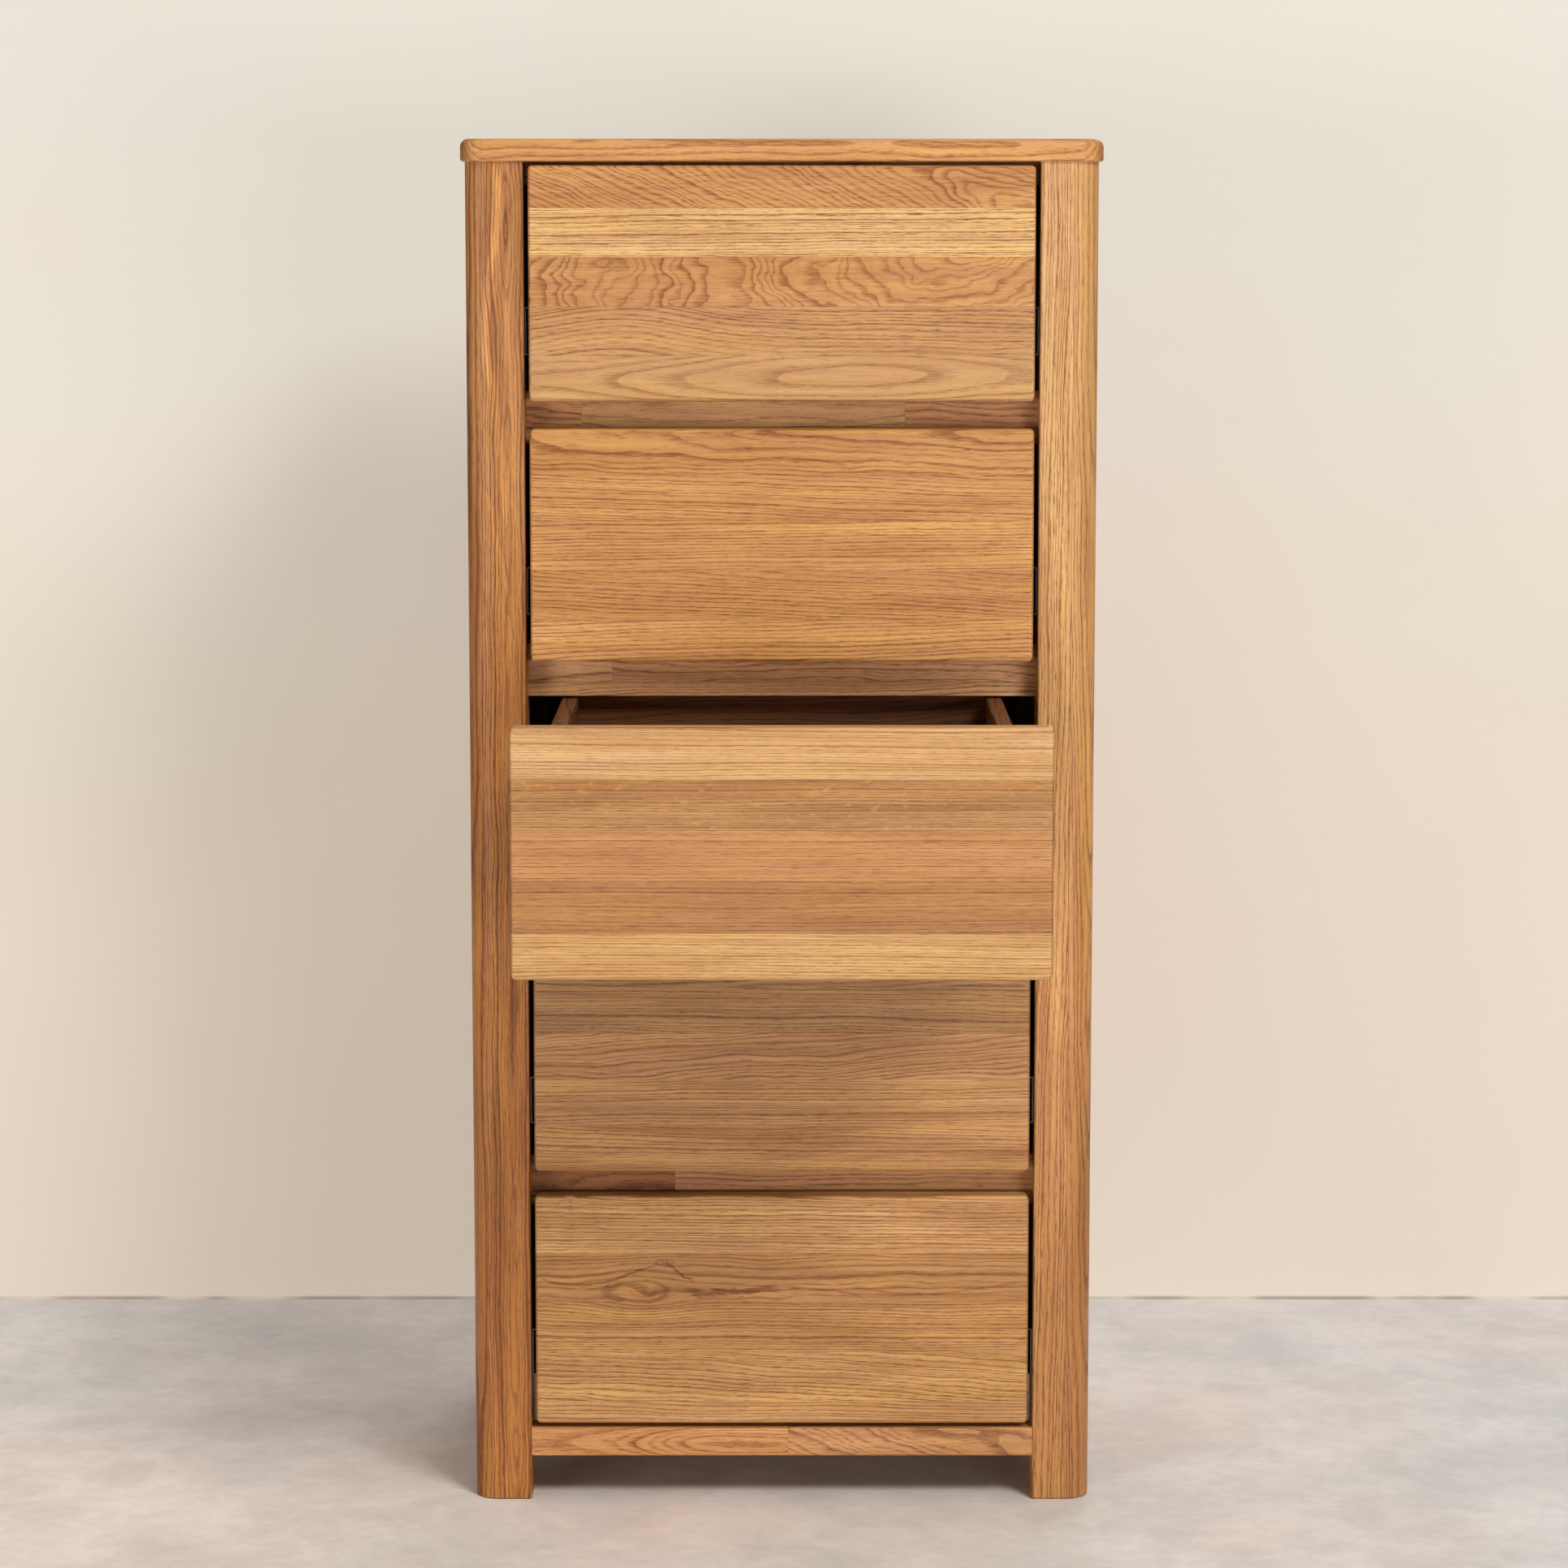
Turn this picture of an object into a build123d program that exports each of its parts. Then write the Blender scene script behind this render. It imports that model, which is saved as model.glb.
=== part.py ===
from build123d import *
import os

# Tall five-drawer chest in solid oak: four corner posts, rails dowelled between
# them, recessed side panels, a top slab, and five handle-less drawers on
# ball-bearing side slides.  Millimetres.  The origin is on the floor, under the
# middle of the carcass; +Z is up, the drawers open towards -Y, +X is the right.
# The third drawer from the top stands open at rest.

# ---------------------------------------------------------------- dimensions
WIDTH = 600.0            # top slab, left to right
DEPTH = 450.0            # top slab, front to back
HEIGHT = 1300.0          # floor to the top surface
TOP_T = 21.0             # top slab thickness
TOP_CORNER_R = 24.0      # top slab, plan corners
TOP_EDGE_R = 7.5         # top slab, rounded upper edges
TOP_UNDER_R = 2.5        # top slab, lower edges

CARCASS_W = 592.0        # over the outside of the posts
CARCASS_D = 442.0        # over the front and back of the posts
POST_W = 55.0            # post, seen from the front
POST_D = 56.0            # post, seen from the side
POST_R = 24.0            # post, rounded outer corner
ARRIS_R = 2.5            # post, eased inner edge
FOOT_CHAMFER = 1.5

SIDE_T = 20.0            # side panel thickness
SIDE_RECESS = 8.0        # side panel, set in from the posts' outer face
TONGUE = 8.0             # side panel tongue, thickness and depth
GROOVE_GAP = 0.2         # play of a tongue or panel in its groove
BACK_T = 8.0             # back panel thickness
BACK_LAP = 12.0          # back panel, lap onto each rear post

BASE_Z = 43.0            # underside of the bottom rail and of the side panels
BASE_RAIL_H = 28.0
BASE_RAIL_D = 28.0
RAIL_SETBACK = 34.0      # divider rails, behind the posts' front face
RAIL_T = 22.0            # divider rail thickness
RAIL_H = 50.0            # divider rail height
RAIL_BELOW_TOP = 15.5    # rail underside, below the top of the front under it
TOP_RAIL_H = 22.0        # flat rails under the top slab
TOP_RAIL_D = 44.0

# Drawer fronts from the top down: (underside, top edge)
FRONT_Z = [(1056.5, 1276.0), (812.0, 1031.0), (569.5, 791.5), (322.5, 546.5), (75.0, 298.5)]
FRONT_W = 473.0
FRONT_T = 22.0
FRONT_CORNER_R = 5.0     # corners of the front, seen from the front
FRONT_EDGE_R = 4.0       # rounding of its front edges
FRONT_BACK_R = 1.0

BOX_W = 418.0            # drawer box, outside
BOX_L = 398.0            # drawer box, behind the front
BOX_T = 15.0             # drawer sides and back
BOX_DROP = [20.5, 17.5, 17.5, 17.5, 17.5]  # each box's top edge below its front's top edge
BOX_RISE = 18.0          # box bottom edge above the front's underside
BOTTOM_T = 6.0
BOTTOM_RISE = 12.0       # bottom board above the box's bottom edge
BOTTOM_LAP = 6.0         # bottom board, let into the grooves

SLIDE_L = 400.0          # slide length, and its travel
SLIDE_H = 45.0
SLIDE_T = 13.0           # slide and its play, between drawer and post
SLIDE_RISE = 65.0        # slide centre above the front's underside
STEEL_T = 1.2
BATTEN_H = 60.0          # battens behind the slides, between the posts

PULL = 350.0             # the third drawer stands open by this much
OPEN_DRAWER = 3

DOWEL_R = 4.0
DOWEL_L = 36.0
DOWEL_PLAY = 0.05
SCREW_R = 2.0
SCREW_HEAD_R = 4.0
SCREW_HEAD_T = 3.0
SCREW_BITE = 12.0        # screw, into the top slab

# ------------------------------------------------------------ derived planes
XP = CARCASS_W / 2                 # outer face of the posts
XI = XP - POST_W                   # inner face of the posts
YF = -CARCASS_D / 2                # front face of the posts
YB = CARCASS_D / 2                 # back face of the posts
ZT = HEIGHT - TOP_T                # underside of the top slab
SIDE_X0 = XP - SIDE_RECESS - SIDE_T    # inner face of a side panel
SIDE_X1 = XP - SIDE_RECESS             # outer face of a side panel
BACK_Y0 = YB - BACK_LAP                # front face of the back panel
FRONT_YB = YF + FRONT_T                # back face of a closed drawer front

out = {}


def block(x0, x1, y0, y1, z0, z1):
    """A box between two opposite corners."""
    return Pos((x0 + x1) / 2, (y0 + y1) / 2, (z0 + z1) / 2) * Box(
        abs(x1 - x0), abs(y1 - y0), abs(z1 - z0)
    )


def rod_x(x0, x1, y, z, r):
    """A cylinder along X."""
    return Pos((x0 + x1) / 2, y, z) * Rot(0, 90, 0) * Cylinder(r, abs(x1 - x0))


def rod_z(x, y, z0, z1, r):
    """A cylinder along Z."""
    return Pos(x, y, (z0 + z1) / 2) * Cylinder(r, abs(z1 - z0))


def upright_edge(solid, x, y):
    """The vertical edge of a solid nearest to (x, y)."""
    edges = solid.edges().filter_by(Axis.Z)
    return min(edges, key=lambda e: (e.center().X - x) ** 2 + (e.center().Y - y) ** 2)


def mirror_x(solid):
    return mirror(solid, about=Plane.YZ)


# ------------------------------------------------------------------ the rails
# Each rail: name -> (y0, y1, z0, z1, [dowel (y, z) at each end])
rails = {}
rail_y0 = YF + RAIL_SETBACK
rail_y1 = rail_y0 + RAIL_T
for i in range(4):
    z0 = FRONT_Z[i + 1][1] - RAIL_BELOW_TOP
    z1 = z0 + RAIL_H
    zm = (z0 + z1) / 2
    ym = (rail_y0 + rail_y1) / 2
    rails[f"divider_rail_{i + 1}"] = (rail_y0, rail_y1, z0, z1, [(ym, zm - 13), (ym, zm + 13)])
rails["front_bottom_rail"] = (
    YF, YF + BASE_RAIL_D, BASE_Z, BASE_Z + BASE_RAIL_H,
    [(YF + 8, BASE_Z + BASE_RAIL_H / 2), (YF + 20, BASE_Z + BASE_RAIL_H / 2)],
)
rails["rear_bottom_rail"] = (
    BACK_Y0 - RAIL_T, BACK_Y0, BASE_Z, BASE_Z + 44,
    [(BACK_Y0 - RAIL_T / 2, BASE_Z + 11), (BACK_Y0 - RAIL_T / 2, BASE_Z + 33)],
)
rails["front_top_rail"] = (
    rail_y0, rail_y0 + TOP_RAIL_D, ZT - TOP_RAIL_H, ZT,
    [(rail_y0 + 7, ZT - TOP_RAIL_H / 2), (rail_y0 + 17, ZT - TOP_RAIL_H / 2)],
)
rails["rear_top_rail"] = (
    BACK_Y0 - TOP_RAIL_D, BACK_Y0, ZT - TOP_RAIL_H, ZT,
    [(BACK_Y0 - 33, ZT - TOP_RAIL_H / 2), (BACK_Y0 - 11, ZT - TOP_RAIL_H / 2)],
)

dowels = []
for name, (y0, y1, z0, z1, pegs) in rails.items():
    rail = block(-XI, XI, y0, y1, z0, z1)
    if name == "front_bottom_rail":
        front_edges = [
            e for e in rail.edges().filter_by(Axis.X) if abs(e.center().Y - y0) < 0.01
        ]
        rail = fillet(front_edges, 2.5)
    else:
        rail = chamfer(rail.edges().filter_by(Axis.X), 0.8)
    for y, z in pegs:
        for s in (-1, 1):
            rail -= rod_x(s * (XI - DOWEL_L / 2 - 1), s * (XI + 1), y, z, DOWEL_R + DOWEL_PLAY)
            dowels.append(rod_x(s * (XI - DOWEL_L / 2), s * (XI + DOWEL_L / 2), y, z, DOWEL_R))
    out[name] = rail
out["rail_dowels"] = dowels

# ------------------------------------------------------------------ the posts
groove_x0 = SIDE_X0 + (SIDE_T - TONGUE) / 2 - GROOVE_GAP
groove_x1 = groove_x0 + TONGUE + 2 * GROOVE_GAP
for end in ("front", "rear"):
    if end == "front":
        y0, y1, y_out, y_in = YF, YF + POST_D, YF, YF + POST_D
    else:
        y0, y1, y_out, y_in = YB - POST_D, YB, YB, YB - POST_D
    post = block(XI, XP, y0, y1, 0, ZT)
    post = fillet(upright_edge(post, XP, y_out), POST_R)
    post = fillet(upright_edge(post, XI, y_out), ARRIS_R)
    post = fillet(upright_edge(post, XP, y_in), 2.0)
    post = chamfer(post.faces().sort_by(Axis.Z)[0].edges(), FOOT_CHAMFER)
    # groove for the side panel's tongue
    depth = TONGUE + 2 * GROOVE_GAP
    inward = -1 if end == "front" else 1
    post -= block(groove_x0, groove_x1, y_in, y_in + inward * depth, BASE_Z - 1, ZT + 1)
    if end == "rear":
        # rebate for the back panel
        post -= block(XI - 1, XI + BACK_LAP + GROOVE_GAP, BACK_Y0, YB + 1, BASE_Z - 1, ZT + 1)
    for name, (ry0, ry1, rz0, rz1, pegs) in rails.items():
        if (ry0 < 0) == (end == "front"):
            for y, z in pegs:
                post -= rod_x(XI - 1, XI + DOWEL_L / 2 + 1, y, z, DOWEL_R + DOWEL_PLAY)
    out[f"{end}_right_post"] = post
    out[f"{end}_left_post"] = mirror_x(post)

# ------------------------------------------------- side panels and back panel
y_reach = CARCASS_D / 2 - POST_D
tongue_x0 = SIDE_X0 + (SIDE_T - TONGUE) / 2
side = block(SIDE_X0, SIDE_X1, -y_reach, y_reach, BASE_Z, ZT)
side = chamfer(
    [e for e in side.edges() if abs(e.center().X - SIDE_X1) < 0.01 and abs(e.center().Z - ZT) > 1], 0.8
)
for s in (-1, 1):
    side += block(tongue_x0, tongue_x0 + TONGUE, s * (y_reach - 1), s * (y_reach + TONGUE), BASE_Z, ZT)
out["right_side_panel"] = side
out["left_side_panel"] = mirror_x(side)

back = block(-XI - BACK_LAP, XI + BACK_LAP, BACK_Y0, BACK_Y0 + BACK_T, BASE_Z, ZT)
back = chamfer([e for e in back.edges() if abs(e.center().Y - BACK_Y0 - BACK_T) < 0.01], 0.6)
out["back_panel"] = back

# ----------------------------------------------------------------- top slab
top = block(-WIDTH / 2, WIDTH / 2, -DEPTH / 2, DEPTH / 2, ZT, HEIGHT)
top = fillet(top.edges().filter_by(Axis.Z), TOP_CORNER_R)
top = fillet(top.faces().sort_by(Axis.Z)[-1].edges(), TOP_EDGE_R)
top = fillet(top.faces().sort_by(Axis.Z)[0].edges(), TOP_UNDER_R)
screws = []
for rail_name in ("front_top_rail", "rear_top_rail"):
    y0, y1, z0, z1, _ = rails[rail_name]
    y = (y0 + y1) / 2
    for x in (-190.0, 0.0, 190.0):
        head = rod_z(x, y, z0 + 0.5, z0 + 0.5 + SCREW_HEAD_T, SCREW_HEAD_R)
        shank = rod_z(x, y, z0 + 0.5 + SCREW_HEAD_T - 0.5, ZT + SCREW_BITE, SCREW_R)
        slot = block(x - 3, x + 3, y - 0.5, y + 0.5, z0, z0 + 1.5)
        screws.append(head + shank - slot)
        out[rail_name] -= rod_z(x, y, z0 - 1, z0 + 0.5 + SCREW_HEAD_T, SCREW_HEAD_R + 0.5)
        out[rail_name] -= rod_z(x, y, z0 + 1, z1 + 1, SCREW_R + 0.05)
        top -= rod_z(x, y, ZT - 1, ZT + SCREW_BITE + 1, SCREW_R + 0.05)
out["top_panel"] = top
out["top_fixing_screws"] = screws

# ----------------------------------------------------- slides and their battens
battens, cabinet_members = [], []


def channel(x_web, x_lip, half_h, y0, y1, z):
    """A steel channel along Y: a web at x_web, and two flanges that end at x_lip."""
    s = 1 if x_lip > x_web else -1
    web = block(x_web, x_web + s * STEEL_T, y0, y1, z - half_h, z + half_h)
    up = block(x_web, x_lip, y0, y1, z + half_h - STEEL_T, z + half_h)
    low = block(x_web, x_lip, y0, y1, z - half_h, z - half_h + STEEL_T)
    return web + up + low


slide_y0 = FRONT_YB + 2
slide_y1 = slide_y0 + SLIDE_L

for n in range(1, 6):
    z_low, z_high = FRONT_Z[n - 1]
    zs = z_low + SLIDE_RISE
    dy = -PULL if n == OPEN_DRAWER else 0.0

    # cabinet side: batten between the posts, and the fixed channel of the slide
    batten = block(XI, SIDE_X0, -y_reach, y_reach, zs - BATTEN_H / 2, zs + BATTEN_H / 2)
    batten = chamfer(
        [e for e in batten.edges().filter_by(Axis.Y) if abs(e.center().X - XI) < 0.01], 1.5
    )
    battens += [batten, mirror_x(batten)]
    fixed = channel(XI, XI - 11.5, SLIDE_H / 2, slide_y0, slide_y1, zs)
    cabinet_members += [fixed, mirror_x(fixed)]

    # middle member: half-way out when the drawer is out
    middle = channel(XI - 3.2, XI - 10.8, 19.5, slide_y0 + dy / 2, slide_y1 + dy / 2, zs)
    out[f"drawer_{n}_middle_members"] = [middle, mirror_x(middle)]

    # drawer member, on a packing strip on the drawer's side
    xo = BOX_W / 2
    xs = XI - SLIDE_T
    inner = channel(xs, xs + 7.4, 14.0, slide_y0 - 1 + dy, slide_y1 - 1 + dy, zs)
    out[f"drawer_{n}_slide_members"] = [inner, mirror_x(inner)]
    packer = block(xo, xs, FRONT_YB + dy, FRONT_YB + BOX_L + dy, zs - SLIDE_H / 2, zs + SLIDE_H / 2)
    packer = chamfer(
        [e for e in packer.edges().filter_by(Axis.Y) if abs(e.center().X - xs) < 0.01], 1.0
    )
    out[f"drawer_{n}_side_packers"] = [packer, mirror_x(packer)]

    # the front
    front = block(-FRONT_W / 2, FRONT_W / 2, YF + dy, FRONT_YB + dy, z_low, z_high)
    front = fillet(front.edges().filter_by(Axis.Y), FRONT_CORNER_R)
    front = fillet(front.faces().sort_by(Axis.Y)[0].edges(), FRONT_EDGE_R)
    front = fillet(front.faces().sort_by(Axis.Y)[-1].edges(), FRONT_BACK_R)

    # the box: two sides, a back between them, and a bottom let into grooves
    bz0, bz1 = z_low + BOX_RISE, z_high - BOX_DROP[n - 1]
    by0, by1 = FRONT_YB + dy, FRONT_YB + BOX_L + dy
    fz0 = bz0 + BOTTOM_RISE
    g0, g1 = fz0 - GROOVE_GAP / 2, fz0 + BOTTOM_T + GROOVE_GAP / 2
    lap = BOTTOM_LAP + 0.3

    side = block(xo - BOX_T, xo, by0, by1, bz0, bz1)
    upper = [e for e in side.edges().filter_by(Axis.Y) if abs(e.center().Z - bz1) < 0.01]
    side = fillet(upper, 2.0)
    side -= block(xo - BOX_T - 1, xo - BOX_T + lap, by0 - 1, by1 - BOX_T + lap, g0, g1)
    out[f"drawer_{n}_right_side"] = side
    out[f"drawer_{n}_left_side"] = mirror_x(side)

    xin = xo - BOX_T
    rear = block(-xin, xin, by1 - BOX_T, by1, bz0, bz1)
    upper = [e for e in rear.edges().filter_by(Axis.X) if abs(e.center().Z - bz1) < 0.01]
    rear = fillet(upper, 2.0)
    rear -= block(-xin - 1, xin + 1, by1 - BOX_T - 1, by1 - BOX_T + lap, g0, g1)
    out[f"drawer_{n}_back"] = rear

    front -= block(-xin - lap, xin + lap, by0 - lap, by0 + 1, g0, g1)
    out[f"drawer_{n}_front"] = front
    out[f"drawer_{n}_bottom"] = block(
        -xin - BOTTOM_LAP, xin + BOTTOM_LAP,
        by0 - BOTTOM_LAP, by1 - BOX_T + BOTTOM_LAP,
        fz0, fz0 + BOTTOM_T,
    )

out["slide_battens"] = battens
out["cabinet_slide_members"] = cabinet_members

# --------------------------------------------------------------------- write
os.makedirs("parts", exist_ok=True)
for name, shape in sorted(out.items()):
    if isinstance(shape, list):
        shape = Compound(children=[s.solid() for s in shape])
    export_step(shape, f"parts/{name}.step")
print(len(out), "nodes")
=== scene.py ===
import math

import bpy
from mathutils import Matrix, Vector


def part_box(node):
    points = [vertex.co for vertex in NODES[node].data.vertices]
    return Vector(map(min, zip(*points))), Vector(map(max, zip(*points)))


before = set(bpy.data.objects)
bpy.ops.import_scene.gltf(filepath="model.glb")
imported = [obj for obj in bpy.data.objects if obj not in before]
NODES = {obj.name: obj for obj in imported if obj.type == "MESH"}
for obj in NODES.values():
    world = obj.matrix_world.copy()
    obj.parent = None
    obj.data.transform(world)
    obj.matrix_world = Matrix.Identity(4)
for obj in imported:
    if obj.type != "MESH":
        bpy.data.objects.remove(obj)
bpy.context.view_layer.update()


def lin(r, g, b):
    """sRGB 0-255 to linear."""
    return tuple(
        (v / 255 / 12.92) if v / 255 <= 0.04045 else ((v / 255 + 0.055) / 1.055) ** 2.4
        for v in (r, g, b)
    )


# ------------------------------------------------------------ a node-tree builder
class Sock:
    """An output socket that takes part in arithmetic."""

    def __init__(self, b, out):
        self.b, self.out = b, out

    def __add__(self, o):
        return self.b.m("ADD", self, o)

    __radd__ = __add__

    def __sub__(self, o):
        return self.b.m("SUBTRACT", self, o)

    def __rsub__(self, o):
        return self.b.m("SUBTRACT", o, self)

    def __mul__(self, o):
        return self.b.m("MULTIPLY", self, o)

    __rmul__ = __mul__

    def __truediv__(self, o):
        return self.b.m("DIVIDE", self, o)

    def __rtruediv__(self, o):
        return self.b.m("DIVIDE", o, self)


class Builder:
    def __init__(self, tree):
        self.tree, self.nodes, self.links = tree, tree.nodes, tree.links

    def new(self, kind, **props):
        n = self.nodes.new(kind)
        for k, v in props.items():
            setattr(n, k, v)
        return n

    def put(self, value, socket):
        if isinstance(value, Sock):
            self.links.new(value.out, socket)
        elif value is not None:
            if hasattr(socket.default_value, "__len__") and not hasattr(value, "__len__"):
                value = [value] * len(socket.default_value)
            elif hasattr(value, "__len__") and len(socket.default_value) == 4 and len(value) == 3:
                value = (*value, 1.0)
            socket.default_value = value

    def m(self, op, a, b=None, c=None, clamp=False):
        n = self.new("ShaderNodeMath", operation=op, use_clamp=clamp)
        for v, s in zip((a, b, c), n.inputs):
            self.put(v, s)
        return Sock(self, n.outputs[0])

    def sqrt(self, a):
        return self.m("SQRT", a)

    def smooth(self, lo, hi, x, out0=0.0, out1=1.0):
        n = self.new("ShaderNodeMapRange", interpolation_type="SMOOTHSTEP", clamp=True)
        for v, s in zip((x, lo, hi, out0, out1), n.inputs):
            self.put(v, s)
        return Sock(self, n.outputs[0])

    def remap(self, lo, hi, x, out0=0.0, out1=1.0):
        n = self.new("ShaderNodeMapRange", clamp=True)
        for v, s in zip((x, lo, hi, out0, out1), n.inputs):
            self.put(v, s)
        return Sock(self, n.outputs[0])

    def vec(self, x, y, z):
        n = self.new("ShaderNodeCombineXYZ")
        for v, s in zip((x, y, z), n.inputs):
            self.put(v, s)
        return Sock(self, n.outputs[0])

    def split(self, v):
        n = self.new("ShaderNodeSeparateXYZ")
        self.put(v, n.inputs[0])
        return [Sock(self, o) for o in n.outputs]

    def noise(self, v, detail=0.0, rough=0.5, scale=1.0, dims="3D", w=None, distortion=0.0):
        n = self.new("ShaderNodeTexNoise", noise_dimensions=dims)
        if dims == "1D":
            self.put(w, n.inputs["W"])
        else:
            self.put(v, n.inputs["Vector"])
        n.inputs["Scale"].default_value = scale
        n.inputs["Detail"].default_value = detail
        n.inputs["Roughness"].default_value = rough
        n.inputs["Distortion"].default_value = distortion
        return Sock(self, n.outputs["Fac"])

    def white(self, w):
        n = self.new("ShaderNodeTexWhiteNoise", noise_dimensions="1D")
        self.put(w, n.inputs["W"])
        return Sock(self, n.outputs["Value"])

    def mix(self, fac, a, b, blend="MIX"):
        n = self.new("ShaderNodeMix", data_type="RGBA", blend_type=blend)
        n.clamp_factor = True
        self.put(fac, n.inputs[0])
        self.put(a, n.inputs[6])
        self.put(b, n.inputs[7])
        return Sock(self, n.outputs[2])

    def lut(self, t, values):
        """A table of up to 32 colours, read in the middle of each cell. t is (index + 0.5) / count."""
        n = self.new("ShaderNodeValToRGB")
        r = n.color_ramp
        r.interpolation = "CONSTANT"
        while len(r.elements) < len(values):
            r.elements.new(0.999)
        for i, v in enumerate(values):
            r.elements[i].position = i / len(values)
        for i, v in enumerate(values):
            r.elements[i].color = (v[0], v[1], v[2], 1.0)
        self.put(t, n.inputs[0])
        return Sock(self, n.outputs[0])


def new_group(name, inputs, outputs):
    g = bpy.data.node_groups.new(name, "ShaderNodeTree")
    for kind, label, default in inputs:
        s = g.interface.new_socket(name=label, in_out="INPUT", socket_type=kind)
        s.default_value = (*default, 1.0) if hasattr(default, "__len__") and kind == "NodeSocketColor" else default
    for kind, label in outputs:
        g.interface.new_socket(name=label, in_out="OUTPUT", socket_type=kind)
    b = Builder(g)
    gi, go = g.nodes.new("NodeGroupInput"), g.nodes.new("NodeGroupOutput")
    ins = {label: Sock(b, gi.outputs[label]) for _, label, _ in inputs}
    return g, b, ins, go


# ------------------------------------------------------------------- solid oak
# A board cut from a log: U runs along the grain, V across the board's face and
# W through its thickness, all in millimetres from the middle of the stave.  The
# pith runs at (A0 + A1 U, B0 + B1 U); rings are shells around it, so faces, edges
# and end grain agree with each other.
F, C = "NodeSocketFloat", "NodeSocketColor"
OAK, b, i, go = new_group(
    "Oak",
    [
        (F, "U", 0.0), (F, "V", 0.0), (F, "W", 0.0), (F, "Seed", 0.0),
        (F, "A0", 0.0), (F, "B0", 60.0), (F, "A1", 0.0), (F, "B1", 0.0),
        (F, "Ring", 4.0), (F, "Warp", 4.0), (F, "WarpU", 160.0),
        (F, "Pore", 1.0), (F, "Fleck", 0.3), (F, "Contrast", 1.0), (F, "End", 0.0),
        (F, "U0", 0.0), (F, "L", 100.0), (F, "HA", 0.0), (F, "HB", 0.0),
        (C, "Light", (0.5, 0.3, 0.15)), (C, "Dark", (0.3, 0.15, 0.07)),
    ],
    [(C, "Color"), (F, "Rough"), (F, "Height")],
)
U, V, W, seed = i["U"], i["V"], i["W"], i["Seed"]
su, sv, sw = U + seed * 371.3, V + seed * 91.7, W + seed * 53.9
low = b.noise(b.vec(su / i["WarpU"], sv / 42.0, sw / 42.0), detail=1.0, rough=0.45)
mid = b.noise(b.vec(su / (i["WarpU"] * 0.30), sv / 13.0, sw / 13.0), detail=1.0, rough=0.5)
# a local swelling of the trunk, which closes the lines into domes and eyes
off = (U - i["U0"]) / i["L"]
swell = b.m("EXPONENT", off * off * -1.0)
dv = V - i["A0"] - i["A1"] * U - i["HA"] * swell
dw = W - i["B0"] - i["B1"] * U - i["HB"] * swell
radius = b.sqrt(dv * dv + dw * dw)
warped = radius + (low - 0.5) * 2.0 * i["Warp"] + (mid - 0.5) * (0.55 * i["Warp"])
ring_x = warped / i["Ring"]
ring_x = ring_x + (b.noise(None, dims="1D", w=ring_x * 0.31 + seed * 7.7) - 0.5) * 1.6
phase = b.m("FRACT", ring_x)
ring_id = b.m("FLOOR", ring_x)
luck = b.white(ring_id + seed * 13.0)
line = b.smooth(0.0, 0.07, phase) * b.smooth(0.10, 0.34 + luck * 0.20, phase, 1.0, 0.0)
early = b.smooth(0.0, 0.10, phase) * b.smooth(0.20, 0.62 + luck * 0.30, phase, 1.0, 0.0)
line = line * (0.35 + luck * 0.65)
early = early * (0.55 + luck * 0.45)
late = b.smooth(0.45, 1.0, phase)
# pores: bundles that read at arm's length, and the single vessels close up
bundle = b.noise(b.vec(su / 15.0, sv / 0.85, sw / 0.85), detail=1.0, rough=0.6)
vessel = b.noise(b.vec(su / 6.0, sv / 0.36, sw / 0.36), detail=0.0)
p_early = b.smooth(0.44, 0.62, bundle) * early
p_fine = b.smooth(0.52, 0.66, vessel) * (early * 0.75 + 0.25)
p_stray = b.smooth(0.60, 0.70, bundle) * (1.0 - early) * 0.50
pore = b.m("MINIMUM", p_early * 0.85 + p_fine * 0.45 + p_stray, 1.0) * i["Pore"]
# tone: fibres, and slow drifts of colour
fibre = b.noise(b.vec(su / 70.0, sv / 1.7, sw / 1.7), detail=2.0, rough=0.65)
streak = b.noise(b.vec(su / 150.0, sv / 4.5, sw / 4.5), detail=1.0, rough=0.5)
drift = b.noise(b.vec(su / 200.0, sv / 17.0, sw / 17.0), detail=1.0, rough=0.5)
hue = b.noise(b.vec(su / 260.0 + 9.0, sv / 22.0, sw / 22.0), detail=1.0, rough=0.5)
# medullary rays: thin sheets that stand on the rings
angle = b.m("ARCTAN2", dw, dv)
ray = b.noise(b.vec(su / 8.0, angle * 110.0, warped / 5.0), detail=0.0)
ray = b.smooth(0.66, 0.80, ray) * i["Fleck"]
tone = (
    line * 0.50 + early * 0.20 + late * 0.16
    + (fibre - 0.5) * 0.70 + (streak - 0.5) * 0.45 + (drift - 0.5) * 0.80
) * i["Contrast"]
color = b.mix(tone + 0.20, i["Light"], i["Dark"])
color = b.mix(1.0, color, b.mix(b.smooth(0.36, 0.64, hue), (1.03, 1.01, 0.90), (0.99, 0.955, 0.97)), blend="MULTIPLY")
deep = b.mix(1.0, i["Dark"], (0.50, 0.42, 0.36), blend="MULTIPLY")
color = b.mix(pore * 0.80, color, deep)
pale = b.mix(1.0, i["Light"], (1.14, 1.12, 1.10), blend="MULTIPLY")
color = b.mix(ray * 0.45, color, pale)
color = b.mix(i["End"] * 0.55, color, deep)
b.put(color, go.inputs["Color"])
b.put(0.42 + pore * 0.28 + (fibre - 0.5) * 0.16 - ray * 0.05, go.inputs["Rough"])
b.put((fibre - 0.5) * 0.25 - pore, go.inputs["Height"])


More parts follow.
